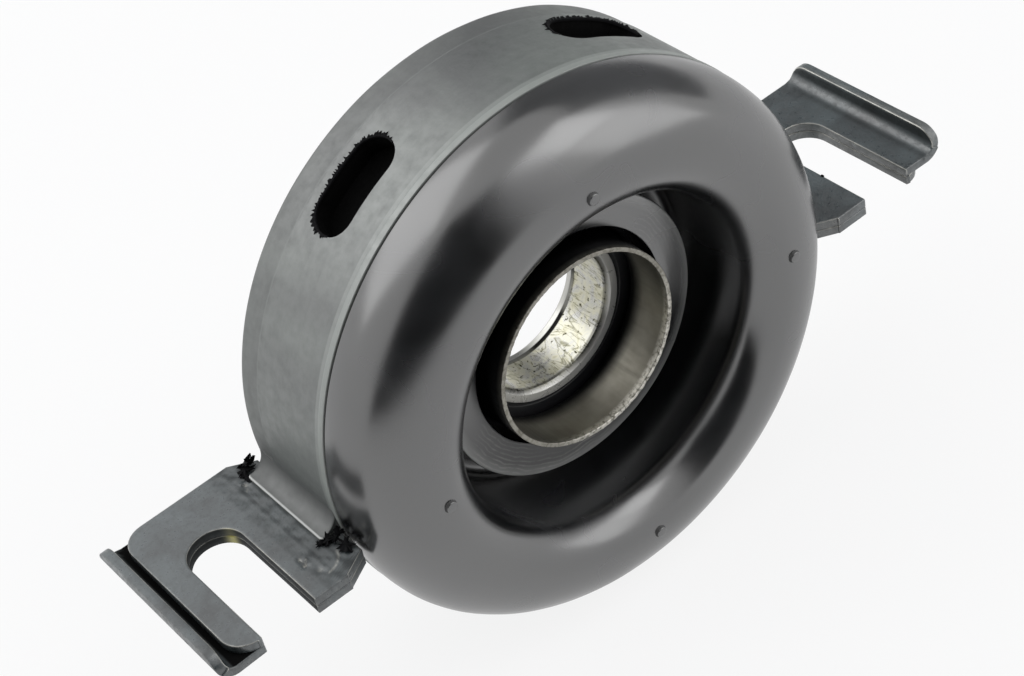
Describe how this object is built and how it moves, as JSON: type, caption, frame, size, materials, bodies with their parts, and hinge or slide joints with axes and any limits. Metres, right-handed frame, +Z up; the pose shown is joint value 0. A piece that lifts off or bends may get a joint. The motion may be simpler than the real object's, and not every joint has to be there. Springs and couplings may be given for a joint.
{
  "type": "driveshaft centre bearing",
  "caption": "Ball bearing held in a dished rubber drum on two pressed steel half hoops, whose ears have open slots to bolt a two-piece driveshaft under a vehicle.",
  "frame": {"origin": "centre of the ball bearing, on the shaft axis, midway through the rings", "axes": "+Y along the shaft axis towards the back, with the roll and the collar at the front; +X to the right ear as seen from the front; +Z up"},
  "size_m": [0.1816, 0.0487, 0.113],
  "materials": {
    "coated_steel": "thin dark coating, semi-gloss, scuffed",
    "moulded_rubber": "moulded, semi-matt on the drum, smoother on the roll",
    "pressed_steel": "bare pressed sheet, satin, with an oil film",
    "bearing_steel": "ground and oiled",
    "cage_steel": "pressed strip, satin",
    "seal_rubber": "moulded, matt"
  },
  "bodies": {
    "cushion_mount": {"upper_bracket": "coated_steel", "lower_bracket": "coated_steel", "rubber_cushion": "moulded_rubber", "bearing_housing": "pressed_steel", "front_shield": "pressed_steel", "outer_ring": "bearing_steel", "front_seal": "seal_rubber", "rear_seal": "seal_rubber"},
    "inner_race": {"inner_ring": "bearing_steel"},
    "ball_train": {"cage_front": "cage_steel", "cage_rear": "cage_steel", "cage_rivets": "cage_steel", "ball_1": "bearing_steel", "ball_2": "bearing_steel", "ball_3": "bearing_steel", "ball_4": "bearing_steel", "ball_5": "bearing_steel", "ball_6": "bearing_steel", "ball_7": "bearing_steel", "ball_8": "bearing_steel", "ball_9": "bearing_steel", "ball_10": "bearing_steel", "ball_11": "bearing_steel"}
  },
  "joints": [
    {"name": "shaft_spin", "type": "hinge", "parent": "cushion_mount", "child": "inner_race", "pos_m": [0, 0, 0], "axis": [0, 1, 0], "continuous": true},
    {"name": "ball_orbit", "type": "hinge", "parent": "cushion_mount", "child": "ball_train", "pos_m": [0, 0, 0], "axis": [0, 1, 0], "continuous": true}
  ],
  "couplings": [
    {"joint": "ball_orbit", "follows": "shaft_spin", "ratio": 0.41595}
  ]
}
